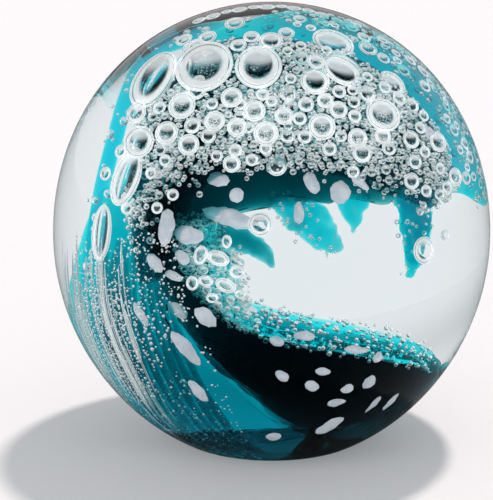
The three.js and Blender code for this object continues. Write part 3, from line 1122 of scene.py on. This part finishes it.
@dataclass
class Foam:
    """The foam along the wave's crest: large bubbles where they are seen, and packed small ones."""

    seed: int = 11
    large: tuple[Bubble, ...] = tuple(Bubble(*row) for row in LARGE_BUBBLES)
    crops: tuple[Crop, ...] = (
        Crop("middling", "foam_glass", 130, 1.0, 2.3, 1.3, 3, 0.6, 1.4),
        Crop("small", "foam_glass", 1000, 0.4, 0.9, 1.5, 2),
        Crop("fine", "foam_glass", 1200, 0.18, 0.42, 1.0, 2, 1.0, 1.4),
        Crop("crest_middling", "crest_sheet", 60, 0.8, 1.7, 1.3, 3),
        Crop("crest_small", "crest_sheet", 130, 0.35, 0.8, 1.4, 2),
        Crop("crest_fine", "crest_sheet", 130, 0.18, 0.35, 1.0, 1),
        Crop("back_middling", "crest_sheet", 40, 0.8, 1.8, 1.5, 3, side=Side.BACK),
        Crop("back_small", "crest_sheet", 90, 0.3, 0.8, 1.4, 2, side=Side.BACK),
        Crop("splash_small", "splash_mass", 160, 0.35, 0.95, 1.4, 2, 2.0, 0.8),
        Crop("splash_fine", "splash_mass", 300, 0.16, 0.4, 1.0, 1, 1.0, 1.4),
        Crop("trough_fine", "trough_rim", 460, 0.14, 0.5, 1.2, 1, 0.6, 0.9),
        Crop("veil_small", "side_veil", 45, 0.25, 0.8, 1.2, 2, 0.3, 1.2),
        Crop("drip_fine", "long_drip", 40, 0.16, 0.5, 1.0, 1, 0.4, 0.8),
        Crop("fin_fine", "fin_drip", 40, 0.16, 0.4, 1.0, 1, 0.4, 0.8),
        Crop("curl_small", "deep_curl", 60, 0.35, 0.7, 1.5, 2, 0.3, 1.4),
        Crop("curl_fine", "deep_curl", 260, 0.15, 0.4, 1.2, 1, 0.3, 1.4),
    )
    edge: tuple[tuple[float, float], ...] = (  # the foam's lower edge, as points along X and Z
        (-60, 41), (-27, 43), (-23.5, 49), (-21.5, 54), (-17.5, 59.5), (-13, 62), (-5, 62.5),
        (8, 61), (13, 60), (20, 60), (25, 57.5), (31, 52.5), (60, 51),
    )
    edged: tuple[str, ...] = ("foam_glass", "crest_sheet", "deep_curl")  # layers whose foam ends there
    edge_size: float = 0.5  # radius of the bubbles at the edge itself
    edge_rise: float = 4.0  # how much higher larger ones stay, for each millimetre of radius
    edge_spray: float = 2.0  # how far single bubbles stray over the edge
    clear_from: float = 1.2  # radius from which a size class has the large bubbles' skin
    large_fineness: int = 4
    wall: float = 0.04  # glass between bubbles
    cover: float = 1.0  # glass between a bubble and the ball's face
    turned_from: float = -0.2  # how far a layer's face may turn from its side and still be foamy
    tries: int = 25  # places tried for each bubble
    chip_levels: tuple[float, ...] = (-0.7, 0.0, 0.7)  # of the clearings before a chip, in half heights
    chip_clearing: float = 1.1  # and their radius, in half widths

    def build(self) -> None:
        """Blows the large bubbles and packs the rest round them, clear of the chips."""
        for bubble in self.large:
            PACKING.add(bubble)
        blow("foam_large", self.large, self.large_fineness, AIR)
        for name, node in frame["nodes"].items():
            if name.startswith("chip_"):
                corners = [Vector(corner) / MM for corner in node.bound_box]
                middle = sum(corners, Vector()) / len(corners)
                half_wide = (corners[4].x - corners[0].x) / 2
                half_tall = (corners[1].z - corners[0].z) / 2
                for level in self.chip_levels:
                    clearing = middle + Vector((0.0, -half_wide, level * half_tall))
                    PACKING.add(Bubble(*clearing, self.chip_clearing * half_wide))
        rng = random.Random(self.seed)
        front = BVHTree.FromBMesh(node_form("foam_glass"))
        for crop in self.crops:
            skin = AIR if crop.most > self.clear_from else CAVIAR
            blow(f"foam_{crop.name}", list(self._packed(crop, front, rng)), crop.fineness, skin)

    def _packed(self, crop: Crop, front: BVHTree, rng: random.Random) -> Iterator[Bubble]:
        """Places one size class over the face of its layer.

        Args:
            crop: The size class.
            front: The surface of the foam glass, behind which nothing shows.
            rng: Source of chance.

        Yields:
            Bubbles that fit.
        """
        form = node_form(crop.node)
        form.normal_update()
        bmesh.ops.triangulate(form, faces=form.faces)
        faces = [face for face in form.faces if face.normal.y * crop.side.value > self.turned_from]
        areas = [face.calc_area() for face in faces]
        made = 0
        for face in rng.choices(faces, areas, k=crop.count * self.tries):
            if made == crop.count:
                break
            a, b = sorted((rng.random(), rng.random()))
            corners = [vert.co for vert in face.verts]
            place = corners[0] * a + corners[1] * (b - a) + corners[2] * (1 - b)
            radius = crop.least + (crop.most - crop.least) * rng.random() ** crop.skew
            place += face.normal * rng.uniform(-crop.sunk, crop.proud) * MM
            bubble = Bubble(*(place / MM), radius)
            if crop.node == "crest_sheet" and crop.side is Side.FRONT:
                if front.ray_cast(place, Vector((0, -1, 0)))[0]:
                    continue
            held_up = self.edge_rise * max(0.0, radius - self.edge_size)
            strays_to = self.lower_edge(bubble.x) + held_up - rng.expovariate(1 / self.edge_spray)
            if crop.node in self.edged and bubble.z < strays_to:
                continue
            if BALL.share(place, (self.cover + radius) * MM) > 1 or not PACKING.fits(bubble, self.wall):
                continue
            PACKING.add(bubble)
            made += 1
            yield bubble
        form.free()
        LOG.info("%s: %d of %d fit", crop.name, made, crop.count)

    def lower_edge(self, x: float) -> float:
        """The lowest level of the foam.

        Args:
            x: Where along X.

        Returns:
            The level, in millimetres like x.
        """
        for (x0, z0), (x1, z1) in zip(self.edge, self.edge[1:]):
            if x <= x1:
                return z0 + (z1 - z0) * (x - x0) / (x1 - x0)
        return self.edge[-1][1]


@dataclass(frozen=True)
class ThreadKind:
    """A kind of air thread: each Span is a range that chance draws from."""

    count: int
    start: Span  # share of the flank's line
    across: Span  # 0 is the outermost line, 1 the innermost
    lift: Span  # millimetres towards the front
    length: Span  # share of the line
    radius: Span  # millimetres
    sides: int
    swells: bool = False  # whether a few are much thicker


@dataclass
class Seeds:
    """Fine seed bubbles and drawn-out air, along the lines that the glass was pulled down to the foot."""

    seed: int = 5
    outer: Knots = ((-31.5, -11, 46), (-31, -11, 33), (-28, -12, 22), (-23, -12.5, 11), (-13, -10, 2))
    inner: Knots = ((-18.5, -17, 47), (-17, -17, 36), (-13, -17, 25), (-8, -16, 11), (-3, -12, 2))
    lowest: float = 2.0  # millimetres over the flat
    strewn: int = 1100
    strewn_across: Span = (-0.1, 1.25)
    strewn_lift: Span = (-3, 1)
    strewn_skew: float = 1.2
    strewn_stray: float = 0.35
    strewn_radius: Span = (0.1, 0.26)
    strewn_wall: float = 0.05
    rows: int = 22
    row_across: Span = (-0.35, 0.85)
    row_lift: Span = (-1.5, 1.5)
    row_start: Span = (0.0, 0.25)
    row_step: Span = (0.009, 0.016)
    row_beads: tuple[int, int] = (18, 46)
    row_stray: float = 0.12
    row_wall: float = 0.03
    bead_radius: Span = (0.16, 0.34)
    bead_variety: Span = (0.45, 1.15)
    thread_kinds: tuple[ThreadKind, ...] = (
        ThreadKind(16, (0.0, 0.25), (-0.4, 0.45), (-1.5, 1.5), (0.45, 0.7), (0.2, 0.33), 8),
        ThreadKind(60, (0.0, 0.7), (-0.5, 0.55), (-2, 1.5), (0.1, 0.35), (0.08, 0.24), 6, swells=True),
    )
    swell_skew: float = 5.0  # how rare the much thicker threads are

    def line(self, share: float, lift: float) -> Path:
        """One of the drawn lines.

        Args:
            share: 0 is the outermost, 1 the innermost.
            lift: Millimetres towards the front.

        Returns:
            The line.
        """
        to_front = (0.0, lift, 0.0)
        points = [
            tuple(o + (i - o) * share - front for o, i, front in zip(a, b, to_front))
            for a, b in zip(self.outer, self.inner)
        ]
        return bent_line(points)

    def build(self) -> None:
        """Makes the seeds and the air threads."""
        rng = random.Random(self.seed)
        candidates = ((self._strewn(rng), self.strewn_wall), (self._beads(rng), self.row_wall))
        blow("seed_bubbles", [seed for makers in candidates for seed in self._fitting(*makers)], 1, BEAD)
        threads = bmesh.new()
        for kind in self.thread_kinds:
            self._draw(threads, kind, rng)
        smooth_all(threads)
        to_piece("air_threads", threads, BEAD, Slot.FOAM)

    def _fitting(self, bubbles: Iterator[Bubble], wall: float) -> Iterator[Bubble]:
        """Keeps the bubbles that lie well inside the ball and clear of all the others.

        Args:
            bubbles: The bubbles, in the order in which they are tried.
            wall: Glass between two of them, in millimetres.

        Yields:
            Those that fit.
        """
        for bubble in bubbles:
            inside = BALL.share(bubble.middle, LAYER_WALL) < 1 and bubble.z > self.lowest
            if inside and PACKING.fits(bubble, wall):
                PACKING.add(bubble)
                yield bubble

    def _strewn(self, rng: random.Random) -> Iterator[Bubble]:
        """Strews seeds over the flank, more of them at the top.

        Args:
            rng: Source of chance.

        Yields:
            The seeds.
        """
        for _ in range(self.strewn):
            line = self.line(rng.uniform(*self.strewn_across), rng.uniform(*self.strewn_lift))
            where = line(rng.random() ** self.strewn_skew) / MM
            where += Vector(rng.gauss(0, self.strewn_stray) for _ in range(3))
            yield Bubble(*where, rng.uniform(*self.strewn_radius))

    def _beads(self, rng: random.Random) -> Iterator[Bubble]:
        """Strings beads along drawn lines.

        Args:
            rng: Source of chance.

        Yields:
            The beads.
        """
        for _ in range(self.rows):
            line = self.line(rng.uniform(*self.row_across), rng.uniform(*self.row_lift))
            spans = (self.row_start, self.row_step, self.bead_radius)
            start, step, size = (rng.uniform(*span) for span in spans)
            for bead in range(rng.randint(*self.row_beads)):
                where = line(start + bead * step) / MM
                where += Vector(rng.gauss(0, self.row_stray) for _ in range(3))
                yield Bubble(*where, size * rng.uniform(*self.bead_variety))

    def _draw(self, threads: Form, kind: ThreadKind, rng: random.Random) -> None:
        """Draws all the air threads of a kind.

        Args:
            threads: What they are added to.
            kind: The kind.
            rng: Source of chance.
        """
        for _ in range(kind.count):
            start = rng.uniform(*kind.start)
            line = self.line(rng.uniform(*kind.across), rng.uniform(*kind.lift))
            end = start + rng.uniform(*kind.length)
            radius = rng.uniform(*kind.radius) * MM
            if kind.swells:
                radius *= 1 + rng.random() ** self.swell_skew
            draw_thread(threads, line, start, end, radius, kind.sides)


# The studio


@dataclass
class Studio:
    """A pale floor, an even white room and one high soft lamp from behind."""

    distance: float = 0.580
    pitch: float = 15.0
    pixels_per_mm: float = 4.844
    aim: tuple[float, float] = (25.0, 18.0)  # pixels from the picture's middle right and up to the ball's
    sensor: float = 36.0
    nearest: float = 0.01  # metres from the camera at which it begins to see
    room: float = 0.52  # light of the room on matt faces
    room_tone: Colour = srgb(244, 250, 255)
    backdrop_tone: Colour = srgb(255, 251, 252)
    near_wall: Ramp = (0.0, 0.2, 0.91, 0.76)  # by height, the wall that the glass shows
    far_wall: Ramp = (0.2, 0.45, 0.0, 0.25)  # what the wall gains further up
    ceiling: Ramp = (0.5, 0.8, 0.0, 0.6)  # and overhead
    mirrored_wall: Ramp = (0.1, 0.6, 0.65, 0.4)  # by height, what the glass mirrors
    clear_bounces: int = 40
    other_bounces: int = 16
    key_strength: float = 2.08
    key_colour: tuple[float, float, float] = (1.0, 0.9, 0.875)
    key_width: float = 5.0
    key_from: Point = (0.22, 0.33, 1.0)
    floor_size: float = 12.0
    floor_gap: float = 0.2 * MM

    def build(self) -> None:
        """Sets up floor, room, lamp and camera."""
        self._floor()
        self._room()
        self._lamp()
        self._camera()
        scene = bpy.context.scene
        scene.view_settings.view_transform = "Standard"
        scene.cycles.max_bounces = self.clear_bounces
        scene.cycles.transmission_bounces = self.clear_bounces
        scene.cycles.glossy_bounces = self.other_bounces
        scene.cycles.transparent_max_bounces = self.other_bounces

    def _floor(self) -> None:
        """The paper, just under the ball."""
        bm = bmesh.new()
        bmesh.ops.create_grid(bm, x_segments=8, y_segments=8, size=self.floor_size / 2)
        bmesh.ops.translate(bm, verts=bm.verts, vec=(0, 0, -self.floor_gap))
        mesh = to_mesh("floor", bm)
        mesh.materials.append(FloorPaper("matt paper").material())
        floor = add_object("floor", mesh)
        floor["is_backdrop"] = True

    def _room(self) -> None:
        """White to the camera; to the glass a white backdrop, a dimmer wall and a soft ceiling."""
        world = bpy.data.worlds.new("studio")
        world.use_nodes = True
        bpy.context.scene.world = world
        board = NodeBoard(world.node_tree)
        height = board.height(board.shade("ShaderNodeTexCoord", "Generated"))
        camera, through, mirrored = board.rays()
        wall = height.ramp(*self.near_wall) + height.ramp(*self.far_wall) + height.ramp(*self.ceiling)
        dim = height.ramp(*self.mirrored_wall)
        other = 1 - (camera + through + mirrored)
        strength = camera + through * wall + mirrored * dim + other * self.room
        tone = board.blend(other, self.backdrop_tone, self.room_tone)
        background = board.shade("ShaderNodeBackground", 0, None, {"Color": tone, "Strength": strength})
        board.node("ShaderNodeOutputWorld", None, {"Surface": background})

    def _lamp(self) -> None:
        """The lamp that casts the shadow; the glass neither mirrors nor focuses it."""
        light = bpy.data.lights.new("key", "SUN")
        light.energy = self.key_strength
        light.color = self.key_colour
        light.angle = math.radians(self.key_width)
        lamp = add_object("key", light)
        lamp.rotation_euler = Vector(self.key_from).to_track_quat("Z", "Y").to_euler()
        lamp.visible_glossy = False
        lamp.visible_transmission = False

    def _camera(self) -> None:
        """The photograph's viewpoint."""
        tilt = math.radians(self.pitch)
        back = Vector((0.0, -math.cos(tilt), math.sin(tilt)))
        turn = (-back).to_track_quat("-Z", "Y")
        aside = self.aim[0] / self.pixels_per_mm * MM
        above = self.aim[1] / self.pixels_per_mm * MM
        camera = add_object("camera", bpy.data.cameras.new("camera"))
        camera.rotation_euler = turn.to_euler()
        camera.location = Vector((0.0, 0.0, BALL.waist)) + back * self.distance
        camera.location -= turn @ Vector((aside, above, 0.0))
        height = PHOTO_HEIGHT / self.pixels_per_mm * MM
        camera.data.sensor_fit = "VERTICAL"
        camera.data.sensor_height = self.sensor
        camera.data.lens = self.sensor * self.distance / height
        camera.data.clip_start = self.nearest
        bpy.context.scene.camera = camera


def main() -> None:
    """Builds the studio and the ball, layer by layer."""
    logging.basicConfig(level=logging.INFO, format="%(name)s: %(message)s", stream=sys.stdout)
    Studio().build()
    GlassBall().build()
    WaveGlass().build()
    OpalChips().build()
    Foam().build()
    Seeds().build()
    boxes = {"cad": cad_box, "visual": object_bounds()}
    {name: [list(corner) for corner in box] for name, box in boxes.items()}


if __name__ == "__main__":
    main()
